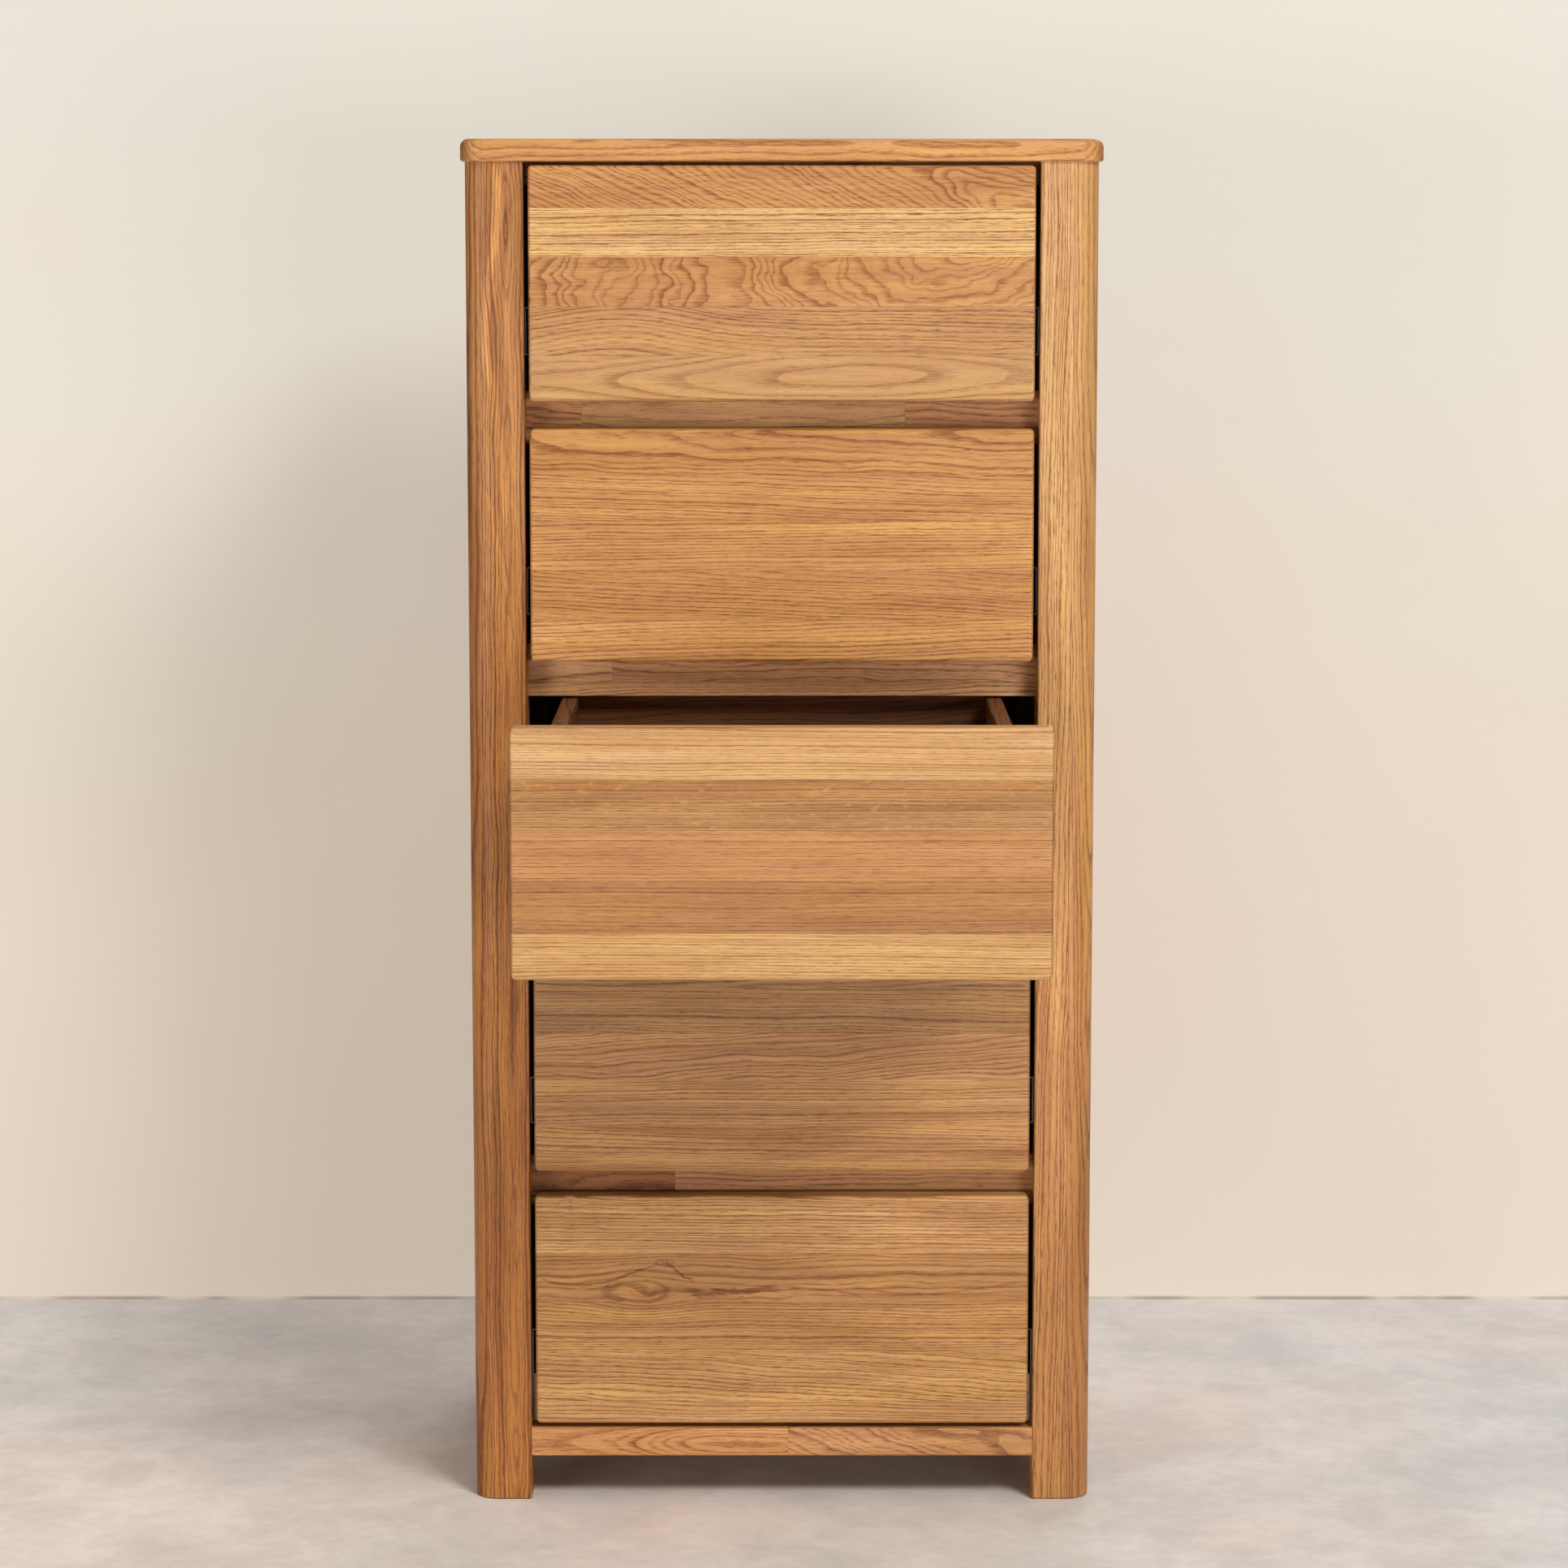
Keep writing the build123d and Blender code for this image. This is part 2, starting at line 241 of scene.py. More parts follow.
def grain_axes(axis):
    """For a grain direction and a face normal, the order of X, Y and Z as U, V, W."""
    return {"xz": (0, 2, 1), "zx": (2, 0, 1), "zy": (2, 1, 0), "xy": (0, 1, 2), "yz": (1, 2, 0), "yx": (1, 0, 2)}[axis]


SPREAD = dict(A0=(-260.0, 260.0), B0=(-260.0, 260.0), A1=(-0.8, 0.8), B1=(-0.8, 0.8),
              Ring=(0.5, 12.5), Warp=(0.0, 40.0), WarpU=(10.0, 410.0), Pore=(0.0, 1.6),
              Fleck=(0.0, 1.6), Contrast=(0.0, 2.0), Seed=(0.0, 40.0),
              U0=(-700.0, 700.0), L=(10.0, 410.0), HA=(-60.0, 60.0), HB=(-60.0, 60.0))


def path_distance(b, u, v, points):
    """Distance across the grain, in mm, from a line drawn through points (u, v), and a mask of its length."""
    u0, u1 = points[0][0], points[-1][0]
    n = b.new("ShaderNodeValToRGB")
    r = n.color_ramp
    r.interpolation = "B_SPLINE" if len(points) > 3 else "LINEAR"
    while len(r.elements) < len(points):
        r.elements.new(0.999)
    for e, (pu, pv) in zip(r.elements, points):
        e.position = (pu - u0) / (u1 - u0)
    for e, (pu, pv) in zip(r.elements, points):
        e.color = ((pv + 200.0) / 400.0,) * 3 + (1.0,)
    b.put((u - u0) / (u1 - u0), n.inputs[0])
    mid = b.split(Sock(b, n.outputs[0]))[0] * 400.0 - 200.0
    fade = min(14.0, (u1 - u0) * 0.2)
    ends = b.smooth(u0 - fade * 0.4, u0 + fade, u) * b.smooth(u1 - fade, u1 + fade * 0.4, u, 1.0, 0.0)
    return b.m("ABSOLUTE", v - mid), ends


def oak(name, axes, origin, rows, staves, glue=0.35, rough_add=0.0, bump=1.0, spec=0.42, tint=(1, 1, 1),
        streaks=(), knots=(), along=None):
    """An oak material for one board glued up from staves.

    axes: U, V, W as in grain_axes.  origin: the middle of the board, in metres.
    rows: [(upper V limit in mm or None, [U limits in mm of the butt joints])], from low V to high V.
    staves: one dict for each stave, row by row and along U within a row.
    """
    mat = bpy.data.materials.new(name)
    mat.use_nodes = True
    b = Builder(mat.node_tree)
    bsdf = mat.node_tree.nodes["Principled BSDF"]
    tc = b.new("ShaderNodeTexCoord")
    xyz = b.split(Sock(b, tc.outputs["Object"]))
    order = grain_axes(axes)
    u, v, w = ((xyz[k] - origin[k]) * 1000.0 for k in order)
    # lines part and close again around a knot
    board_u, board_v = u, v
    for kn in knots:
        ku, kv = (board_u - kn["u"]) / kn["a"], (board_v - kn["v"]) / kn["b"]
        r2 = ku * ku + kv * kv
        near = b.m("EXPONENT", r2 * -0.22)
        v = v - (board_v - kn["v"]) * (near * kn.get("push", 0.7))
    flow_v = v
    v = board_v
    # which stave, and where its middle is
    count = len(staves)
    limits = [r[0] for r in rows[:-1]]
    index, line = None, None
    start = 0
    lo = -1e4
    mids = []
    for k, (hi, cuts) in enumerate(rows):
        top = 1e4 if hi is None else hi
        for j in range(len(cuts) + 1):
            a = max(lo, rows[0][0] - 44.0 if rows[0][0] is not None else -22.0)
            z = top if top < 9e3 else (lo + 44.0 if lo > -9e3 else 22.0)
            mids.append((a + z) / 2)
        lo = top
    for k, limit in enumerate(limits):
        step = b.m("GREATER_THAN", v, limit)
        jump = len(rows[k][1]) + 1
        index = step * float(jump) if index is None else index + step * float(jump)
        if glue:
            d = b.smooth(0.12, 0.42, b.m("ABSOLUTE", v - limit), 1.0, 0.0)
            line = d if line is None else b.m("MAXIMUM", line, d)
    first = 0
    lo = None
    for k, (hi, cuts) in enumerate(rows):
        if cuts:
            inside = 1.0
            if lo is not None:
                inside = b.m("GREATER_THAN", v, lo)
            if hi is not None:
                below = b.m("LESS_THAN", v, hi)
                inside = below if isinstance(inside, float) else inside * below
            for c in cuts:
                s = b.m("GREATER_THAN", u, c)
                s = s if isinstance(inside, float) else s * inside
                index = s if index is None else index + s
                if glue:
                    d = b.smooth(0.10, 0.35, b.m("ABSOLUTE", u - c), 1.0, 0.0)
                    d = d if isinstance(inside, float) else d * inside
                    line = d if line is None else b.m("MAXIMUM", line, d)
        lo = hi
    t = 0.5 / count if index is None else (index + 0.5) / float(count)
    t = b.m("ADD", 0.0, t) if not isinstance(t, Sock) else t

    def norm(key, s):
        a, z = SPREAD[key]
        return min(1.0, max(0.0, (s[key] - a) / (z - a)))

    full = []
    for k, s in enumerate(staves):
        d = dict(Seed=(k * 1.7 + 0.37) % 40, A0=30.0, B0=-70.0, A1=0.0, B1=0.02, Ring=4.0, Warp=4.0, WarpU=170.0,
                 Pore=1.0, Fleck=0.25, Contrast=1.0, U0=0.0, L=100.0, HA=0.0, HB=0.0, Light=lin(214, 160, 106), Dark=lin(160, 104, 60))
        d.update(s)
        full.append(d)

    def table(*keys):
        out = b.split(b.lut(t, [[norm(k, s) for k in keys] + [0.0] * (3 - len(keys)) for s in full]))
        return [out[j] * (SPREAD[k][1] - SPREAD[k][0]) + SPREAD[k][0] for j, k in enumerate(keys)]

    g = b.new("ShaderNodeGroup", node_tree=OAK)
    mid = b.split(b.lut(t, [[(mm + 500.0) / 1000.0, 0, 0] for mm in mids]))[0] * 1000.0 - 500.0
    b.put(u, g.inputs["U"])
    b.put(flow_v - mid, g.inputs["V"])
    b.put(w, g.inputs["W"])
    for keys in (("Seed", "A0", "B0"), ("A1", "B1", "Ring"), ("Warp", "WarpU", "Pore"), ("Fleck", "Contrast", "U0"), ("L", "HA", "HB")):
        for k, s in zip(keys, table(*keys)):
            b.put(s, g.inputs[k])
    b.put(b.lut(t, [s["Light"] for s in full]), g.inputs["Light"])
    b.put(b.lut(t, [s["Dark"] for s in full]), g.inputs["Dark"])
    geo = b.new("ShaderNodeNewGeometry")
    facing = b.m("ABSOLUTE", b.split(Sock(b, geo.outputs["Normal"]))[order[0]])
    b.put(b.smooth(0.55, 0.95, facing), g.inputs["End"])
    color = Sock(b, g.outputs["Color"])
    if along:  # the log's colour changes slowly over its length
        (u0, c0), (u1, c1), (u2, c2) = along
        drift = b.mix(b.smooth(u1, u2, board_u), b.mix(b.smooth(u0, u1, board_u), c0, c1), c2)
        color = b.mix(1.0, color, drift, blend="MULTIPLY")
    for st in streaks:
        d, ends = path_distance(b, board_u, board_v, st["points"])
        ragged = b.noise(b.vec(board_u / st.get("wave", 16.0), board_v / 2.6, w / 9.0), detail=2.0, rough=0.6)
        d = d + (ragged - 0.5) * st["width"] * 1.3
        band = b.smooth(st["width"] * 0.15, st["width"] * 0.5 + 0.2, d, 1.0, 0.0) * ends * st.get("amount", 0.5)
        color = b.mix(band, color, b.mix(1.0, color, st["color"], blend="MULTIPLY"))
    for kn in knots:
        ku, kv = (board_u - kn["u"]) / kn["a"], (board_v - kn["v"]) / kn["b"]
        # a tail along the grain on the left, blunt on the right
        ku = ku * b.remap(-1.4, 0.3, ku, 0.62, 1.0)
        wob = b.noise(b.vec(board_u / 7.0, board_v / 5.0, 0.0), detail=1.0)
        rr = b.sqrt(ku * ku + kv * kv) + (wob - 0.5) * 0.22
        rim = b.smooth(0.72, 0.92, rr) * b.smooth(0.95, 1.16, rr, 1.0, 0.0)
        inner = b.smooth(0.30, 0.42, rr) * b.smooth(0.44, 0.60, rr, 1.0, 0.0)
        core = b.smooth(0.05, 0.30, rr, 1.0, 0.0)
        body = b.smooth(0.85, 1.0, rr, 1.0, 0.0)
        color = b.mix(body * kn.get("pale", 0.0), color, b.mix(1.0, color, (1.18, 1.14, 1.05), blend="MULTIPLY"))
        dark = b.m("MINIMUM", rim * kn.get("rim", 0.6) + inner * kn.get("inner", 0.35) + core * kn.get("core", 0.6), 1.0)
        color = b.mix(dark, color, kn.get("color", lin(108, 66, 36)))
    if line is not None:
        color = b.mix(line * glue, color, lin(104, 66, 38))
    if tint != (1, 1, 1):
        color = b.mix(1.0, color, tint, blend="MULTIPLY")
    b.put(color, bsdf.inputs["Base Color"])
    b.put(Sock(b, g.outputs["Rough"]) + rough_add, bsdf.inputs["Roughness"])
    bump_node = b.new("ShaderNodeBump")
    bump_node.inputs["Strength"].default_value = 0.35 * bump
    bump_node.inputs["Distance"].default_value = 0.00022
    b.put(Sock(b, g.outputs["Height"]), bump_node.inputs["Height"])
    b.links.new(bump_node.outputs["Normal"], bsdf.inputs["Normal"])
    bsdf.inputs["Specular IOR Level"].default_value = spec
    bsdf.inputs["IOR"].default_value = 1.46
    return mat


def dress(node, mat):
    o = NODES[node]
    o.data.materials.clear()
    o.data.materials.append(mat)


def centre(node):
    a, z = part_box(node)
    return [(p + q) / 2 for p, q in zip(a, z)]


# --------------------------------------------------------------- drawer fronts
L_HONEY, D_HONEY = lin(222, 170, 114), lin(168, 108, 62)
FRONTS = {
    1: dict(
        cuts=[0.196, 0.404, 0.612, 0.820],
        staves=[
            dict(Light=lin(224, 176, 122), Dark=lin(176, 120, 74), A0=2, B0=-40, A1=0.01, B1=0.01, Ring=5.0, Warp=4, WarpU=150, Pore=0.7, Contrast=0.9, U0=48, L=150, HB=16),
            dict(Light=lin(220, 168, 116), Dark=lin(170, 112, 68), A0=-52, B0=-40, A1=0.0, B1=0.0, Ring=3.3, Warp=4, WarpU=170, Pore=1.1, U0=-150, L=95, HA=17),
            dict(Light=lin(220, 164, 108), Dark=lin(166, 104, 60), A0=6, B0=-80, A1=0.10, B1=0.42, Ring=6.0, Warp=19, WarpU=75, Pore=0.8, Contrast=1.15),
            dict(Light=lin(236, 190, 134), Dark=lin(176, 120, 72), A0=105, B0=-40, A1=0.01, B1=0.0, Ring=2.6, Warp=2.5, WarpU=220, Pore=1.3, Contrast=1.1),
            dict(Light=lin(218, 162, 106), Dark=lin(164, 102, 58), A0=60, B0=-60, A1=-0.36, B1=0.14, Ring=4.2, Warp=8, WarpU=90, Pore=1.0, Contrast=1.1),
        ],
    ),
    2: dict(
        cuts=[0.181, 0.3925, 0.608, 0.804],
        staves=[
            dict(Light=lin(220, 166, 108), Dark=lin(164, 104, 58), A0=-70, B0=-60, A1=0.02, B1=0.02, Ring=3.3, Warp=4, WarpU=190),
            dict(Light=lin(212, 158, 100), Dark=lin(160, 102, 58), A0=60, B0=-60, A1=-0.03, B1=0.02, Ring=2.6, Warp=4, WarpU=160, Contrast=0.8),
            dict(Light=lin(222, 168, 110), Dark=lin(166, 106, 60), A0=-80, B0=-50, A1=0.01, B1=0.0, Ring=3.0, Warp=3, WarpU=200),
            dict(Light=lin(222, 168, 110), Dark=lin(168, 108, 62), A0=90, B0=-60, A1=-0.03, B1=0.02, Ring=2.9, Warp=4, WarpU=180),
            dict(Light=lin(218, 162, 104), Dark=lin(160, 100, 56), A0=30, B0=-60, A1=0.02, B1=0.05, Ring=3.8, Warp=6, WarpU=120),
        ],
    ),
    3: dict(
        cuts=[0.1885, 0.396, 0.5955, 0.7955],
        staves=[
            dict(Light=lin(230, 182, 124), Dark=lin(182, 126, 76), A0=120, B0=-40, Ring=2.6, Warp=3, WarpU=240, Pore=0.8),
            dict(Light=lin(200, 146, 96), Dark=lin(152, 98, 58), A0=-110, B0=-20, Ring=2.2, Warp=3, WarpU=240, Pore=0.8, Contrast=0.8),
            dict(Light=lin(216, 160, 108), Dark=lin(168, 108, 66), A0=110, B0=-20, Ring=2.3, Warp=3, WarpU=240, Pore=0.8, Contrast=0.8),
            dict(Light=lin(202, 150, 98), Dark=lin(150, 98, 58), A0=-90, B0=-20, Ring=2.5, Warp=3, WarpU=240, Pore=0.8, Fleck=0.8, Contrast=0.9),
            dict(Light=lin(230, 184, 130), Dark=lin(184, 130, 82), A0=130, B0=-40, Ring=2.6, Warp=3, WarpU=240, Pore=0.8),
        ],
        streaks=[
            dict(points=[(-232, 62), (-150, 60), (-60, 57), (40, 54), (130, 56), (232, 60)], width=8.0, amount=0.6, color=(1.10, 0.96, 0.88), wave=60.0),
        ],
    ),
    4: dict(
        cuts=[0.20, 0.40, 0.60, 0.80],
        staves=[
            dict(Light=lin(206, 156, 104), Dark=lin(158, 108, 66), A0=60, B0=-50, Ring=3.0, Warp=4, WarpU=200, Pore=0.9),
            dict(Light=lin(204, 152, 102), Dark=lin(158, 108, 66), A0=-90, B0=-50, Ring=2.8, Warp=4, WarpU=180, Pore=0.9),
            dict(Light=lin(204, 150, 100), Dark=lin(156, 104, 64), A0=-60, B0=-50, A1=0.05, Ring=3.2, Warp=7, WarpU=140, Pore=0.9),
            dict(Light=lin(200, 148, 98), Dark=lin(152, 102, 62), A0=80, B0=-50, Ring=3.2, Warp=5, WarpU=160, Pore=1.0),
            dict(Light=lin(200, 148, 98), Dark=lin(150, 102, 62), A0=-40, B0=-50, Ring=3.6, Warp=4, WarpU=160, Pore=1.0),
        ],
    ),
    5: dict(
        cuts=[0.10, 0.317, 0.538, 0.75],
        staves=[
            dict(Light=lin(212, 162, 108), Dark=lin(160, 108, 64), A0=60, B0=-50, Ring=3.0, Warp=4, WarpU=200),
            dict(Light=lin(212, 162, 108), Dark=lin(160, 108, 64), A0=-70, B0=-50, A1=-0.07, Ring=3.0, Warp=6, WarpU=150, Pore=1.2),
            dict(Light=lin(206, 154, 100), Dark=lin(154, 102, 60), A0=110, B0=-50, Ring=3.2, Warp=4, WarpU=180),
            dict(Light=lin(204, 150, 98), Dark=lin(154, 102, 60), A0=-34, B0=-40, B1=0.01, Ring=5.0, Warp=6, WarpU=130, Contrast=1.0, Pore=0.8),
            dict(Light=lin(210, 160, 106), Dark=lin(158, 106, 62), A0=100, B0=-50, Ring=3.2, Warp=4, WarpU=190, Contrast=1.15),
        ],
        knots=[
            dict(u=-133, v=18.5, a=23.5, b=11.0, push=0.75, pale=0.6, rim=0.55, inner=0.18, core=0.45),
            dict(u=-111, v=46.5, a=6.5, b=3.6, push=0.5, rim=0.5, inner=0.5, core=0.9, color=lin(96, 60, 34)),
            dict(u=-202, v=102, a=2.2, b=6.0, push=0.2, rim=0.15, inner=0.3, core=0.9, color=lin(70, 44, 26)),
            dict(u=-201, v=84, a=3.0, b=2.2, push=0.3, rim=0.2, inner=0.3, core=0.8, color=lin(80, 50, 30)),
            dict(u=-117, v=-31, a=2.6, b=2.6, push=0.3, rim=0.2, inner=0.4, core=1.0, color=lin(64, 38, 22)),
            dict(u=132, v=-13.5, a=2.2, b=2.0, push=0.3, rim=0.2, inner=0.4, core=0.9, color=lin(84, 52, 30)),
        ],
        streaks=[
            dict(points=[(-233, 33), (-222, 27), (-203, 25), (-180, 25.5), (-160, 30), (-140, 38), (-118, 46)], width=3.6, amount=0.95, color=(0.55, 0.44, 0.35), wave=9.0),
            dict(points=[(-110, 46), (-101, 39), (-93, 32), (-84, 29)], width=4.6, amount=1.0, color=(0.52, 0.41, 0.33), wave=8.0),
            dict(points=[(-95, 23), (-86, 18), (-74, 15.5), (-58, 19), (-42, 17.5), (-22, 21), (-2, 22.5)], width=8.5, amount=1.0, color=(0.50, 0.38, 0.29), wave=11.0),
            dict(points=[(-2, 23), (22, 22), (48, 20.5), (72, 15), (84, 8)], width=3.4, amount=0.8, color=(0.72, 0.60, 0.50), wave=14.0),
            dict(points=[(66, 25), (100, 17), (140, 15), (176, 19), (228, 28)], width=3.4, amount=0.75, color=(0.74, 0.62, 0.52), wave=14.0),
            dict(points=[(20, 63), (70, 58), (130, 62), (226, 60)], width=2.8, amount=0.5, color=(0.76, 0.63, 0.53), wave=16.0),
            dict(points=[(-228, 8), (-150, 1), (-60, 3), (40, -1), (120, 4), (228, 11)], width=1.8, amount=0.45, color=(0.76, 0.66, 0.58), wave=18.0),
        ],
    ),
}
# the tone of each stave, from the bottom one up; front 4's two upper staves also carry painted shade from the open
# drawer above
TONES = {
    1: [(0.87, 0.89, 0.88), (0.89, 0.93, 0.90), (0.89, 0.92, 0.86), (1.02, 1.10, 1.06), (0.91, 0.94, 0.91)],
    2: [(1.11, 1.14, 1.04), (1.00, 0.97, 0.89), (1.01, 1.03, 0.93), (0.94, 0.95, 0.88), (0.95, 0.98, 0.88)],
    3: [(0.87, 0.92, 0.93), (0.86, 0.87, 0.80), (0.88, 0.90, 0.85), (0.89, 0.94, 0.91), (0.91, 0.95, 0.97)],
    # front 4's two upper staves are darker here: painted shade of the open drawer 3 above them
    4: [(0.96, 0.97, 0.89), (0.98, 1.05, 1.04), (0.91, 0.99, 1.00), (0.77, 0.84, 0.84), (0.74, 0.80, 0.80)],
    5: [(1.00, 1.05, 1.01), (1.02, 1.07, 0.99), (0.98, 1.02, 0.93), (0.91, 0.94, 0.87), (1.12, 1.22, 1.24)],
}
CONTRAST = {1: 1.05, 2: 1.15, 3: 1.3, 4: 1.75, 5: 1.4}


def toned(stave, tone):
    for key in ("Light", "Dark"):
        stave[key] = tuple(min(1.0, c * t) for c, t in zip(stave[key], tone))


for n, spec in FRONTS.items():
    for stave, tone in zip(spec["staves"], TONES[n]):
        toned(stave, tone)
        stave["Contrast"] = stave.get("Contrast", 1.0) * CONTRAST[n]
    node = f"drawer_{n}_front"
    a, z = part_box(node)
    h = (z[2] - a[2]) * 1000
    rows = [((c - 0.5) * h, []) for c in spec["cuts"]] + [(None, [])]
    for k, s in enumerate(spec["staves"]):
        s.setdefault("Seed", (n * 6.1 + k * 1.37) % 38)
    dress(node, oak(f"oak_front_{n}", "xz", centre(node), rows, spec["staves"],
                    streaks=spec.get("streaks", ()), knots=spec.get("knots", ())))

# ----------------------------------------------------------------- the carcass
def staves_even(count, seed, light, dark, spread=0.06, **extra):
    """count staves with small, fixed differences of tone and cut."""
    out = []
    for k in range(count):
        r = [((math.sin((seed * 12.9898 + k * 78.233 + j * 37.719)) * 43758.5453) % 1.0) for j in range(6)]
        f = 1.0 + (r[0] - 0.5) * 2 * spread
        s = dict(
            Light=tuple(min(1.0, c * f) for c in light), Dark=tuple(min(1.0, c * f) for c in dark),
            A0=(r[1] - 0.5) * 240, B0=-30 - 60 * r[2], A1=(r[3] - 0.5) * 0.05, B1=(r[4] - 0.5) * 0.10,
            Ring=2.6 + 2.6 * r[5], Warp=3 + 5 * r[2], WarpU=110 + 140 * r[3], Seed=(seed * 3.3 + k * 1.9) % 38,
        )
        s.update(extra)
        out.append(s)
    return out


L_C, D_C = lin(214, 158, 104), lin(158, 102, 58)
dress("top_panel", oak("oak_top", "xy", centre("top_panel"),
      [(-180 + 45 * k, []) for k in range(9)] + [(None, [])], staves_even(10, 3, lin(222, 166, 106), lin(172, 112, 62))))
POSTS = {
    "front_left_post": dict(
        along=[(-460, (0.86, 0.765, 0.51)), (60, (0.98, 0.90, 0.65)), (420, (0.98, 1.01, 0.96))],
        rows=[(-13.3, []), (None, [])],
        staves=[
            dict(Light=lin(208, 148, 92), Dark=lin(146, 88, 46), A0=-60, B0=-50, Ring=4.2, Warp=5, WarpU=260, Contrast=1.35, Seed=3.1),
            dict(Light=lin(206, 146, 90), Dark=lin(142, 86, 44), A0=3, B0=-30, B1=-0.012, Ring=3.1, Warp=6, WarpU=150, Contrast=1.55, Seed=8.4, U0=485, L=130, HB=14),
        ],
        streaks=[
            dict(points=[(300, 8), (330, 9), (372, 4), (417, 1), (455, -8), (496, -8), (535, -5), (580, 4), (612, 6), (637, 1)], width=8.5, amount=1.0, color=(1.36, 1.42, 1.44), wave=60.0),
            dict(points=[(372, 17), (420, 11), (470, 4), (520, 5), (570, 12), (610, 17)], width=9.0, amount=0.6, color=(0.80, 0.73, 0.68), wave=50.0),
            dict(points=[(150, 6), (200, 14), (245, 11), (290, 0), (330, -9)], width=6.0, amount=0.75, color=(1.26, 1.28, 1.26), wave=60.0),
            dict(points=[(-40, -6), (60, -2), (120, 6), (180, 10)], width=5.0, amount=0.4, color=(1.20, 1.20, 1.16), wave=60.0),
            dict(points=[(-420, 8), (-330, -2), (-250, -7), (-160, -2), (-60, 3)], width=8.0, amount=0.45, color=(0.74, 0.66, 0.60), wave=50.0),
            dict(points=[(-330, 14), (-260, 6), (-210, 2), (-140, 8), (-80, 16)], width=4.0, amount=0.5, color=(1.26, 1.24, 1.18), wave=50.0),
            dict(points=[(-640, -10), (-560, -6), (-480, 0), (-400, -4)], width=6.0, amount=0.4, color=(1.18, 1.16, 1.10), wave=50.0),
        ],
    ),
    "front_right_post": dict(
        along=[(-460, (0.76, 0.67, 0.55)), (30, (1.04, 1.05, 0.92)), (420, (1.06, 1.17, 1.24))],
        rows=[(3.5, []), (None, [])],
        staves=[
            dict(Light=lin(226, 174, 118), Dark=lin(166, 110, 64), A0=-40, B0=-42, A1=0.012, Ring=3.4, Warp=5, WarpU=200, Pore=1.15, Contrast=1.3, Seed=12.2),
            dict(Light=lin(212, 158, 102), Dark=lin(158, 104, 60), A0=60, B0=-40, A1=-0.02, Ring=3.8, Warp=5, WarpU=180, Pore=1.0, Contrast=1.3, Seed=16.9),
        ],
        streaks=[
            dict(points=[(330, -3), (420, 4), (520, 1), (600, -2)], width=6.0, amount=0.5, color=(1.16, 1.16, 1.14), wave=60.0),
            dict(points=[(-60, 2), (20, 8), (110, 9), (180, 4), (260, -4)], width=5.5, amount=0.55, color=(1.20, 1.20, 1.18), wave=60.0),
            dict(points=[(-420, 2), (-340, 4), (-240, -4), (-140, -10)], width=5.0, amount=0.5, color=(1.18, 1.18, 1.14), wave=60.0),
        ],
    ),
}
for side, sx in (("left", -1), ("right", 1)):
    for end in ("front", "rear"):
        name = f"{end}_{side}_post"
        if name in POSTS:
            spec = POSTS[name]
            dress(name, oak(f"oak_{name}", "zx", centre(name), spec["rows"], spec["staves"],
                            streaks=spec["streaks"], along=spec["along"]))
        else:
            dress(name, oak(f"oak_{name}", "zx", centre(name), [(sx * 9.0, []), (None, [])],
                            staves_even(2, 16 + sx, lin(214, 158, 104), lin(154, 98, 54), Ring=4.0, Warp=6, WarpU=220)))
    name = f"{side}_side_panel"
    dress(name, oak(f"oak_{name}", "zy", centre(name), [(-132 + 44 * k, []) for k in range(7)] + [(None, [])],
                    staves_even(8, 21 + sx, L_C, D_C, spread=0.08)))
dress("back_panel", oak("oak_back_panel", "zx", centre("back_panel"), [(-198 + 66 * k, []) for k in range(7)] + [(None, [])],
                        staves_even(8, 31, lin(196, 146, 98), lin(146, 98, 60)), rough_add=0.12))
LAMELLAS = {  # (lower lamella's top, joints in it), then the joints of the upper one, and each one's tone
    1: ([(-9.5, []), (None, [-188.5, 116.0])], [(0.86, 0.84, 0.80), (0.97, 0.86, 0.69), (1.04, 1.06, 0.89), (1.02, 0.92, 0.76)]),
    2: ([(-11.0, []), (None, [-161.0])], [(1.12, 1.12, 1.04), (1.42, 1.50, 1.42), (1.18, 1.17, 1.10)]),
    3: ([(4.0, []), (None, [30.0])], [(1.0, 1.0, 0.9), (1.1, 1.1, 1.0), (1.0, 1.0, 0.9)]),
    4: ([(-12.0, []), (None, [-103.0])], [(1.25, 1.15, 0.96), (0.55, 0.40, 0.26), (0.93, 0.85, 0.70)]),
}
for k, (rows, tones) in LAMELLAS.items():
    name = f"divider_rail_{k}"
    staves = staves_even(len(tones), 40 + k, lin(218, 166, 120), lin(156, 108, 74), spread=0.0)
    for st, tone in zip(staves, tones):
        toned(st, tone)
        st["Warp"], st["Contrast"] = 8.0, 1.15
    dress(name, oak(f"oak_{name}", "xz", centre(name), rows, staves))
name = "front_bottom_rail"
dress(name, oak("oak_bottom_rail", "xz", centre(name), [(None, [6.0])], [
    dict(Light=lin(222, 166, 106), Dark=lin(162, 104, 56), A0=-3, B0=-30, B1=0.035, Ring=3.4, Warp=5, WarpU=150, Seed=21.0, Contrast=1.2, U0=-60, L=90, HB=13),
    dict(Light=lin(210, 156, 104), Dark=lin(150, 98, 58), A0=60, B0=-60, A1=-0.30, B1=0.06, Ring=4.0, Warp=7, WarpU=90, Seed=25.0, Contrast=1.2),
]))
for name in ("front_top_rail", "rear_top_rail", "rear_bottom_rail"):
    dress(name, oak(f"oak_{name}", "xz", centre(name), [(None, [40.0])], staves_even(2, 55, L_C, D_C)))

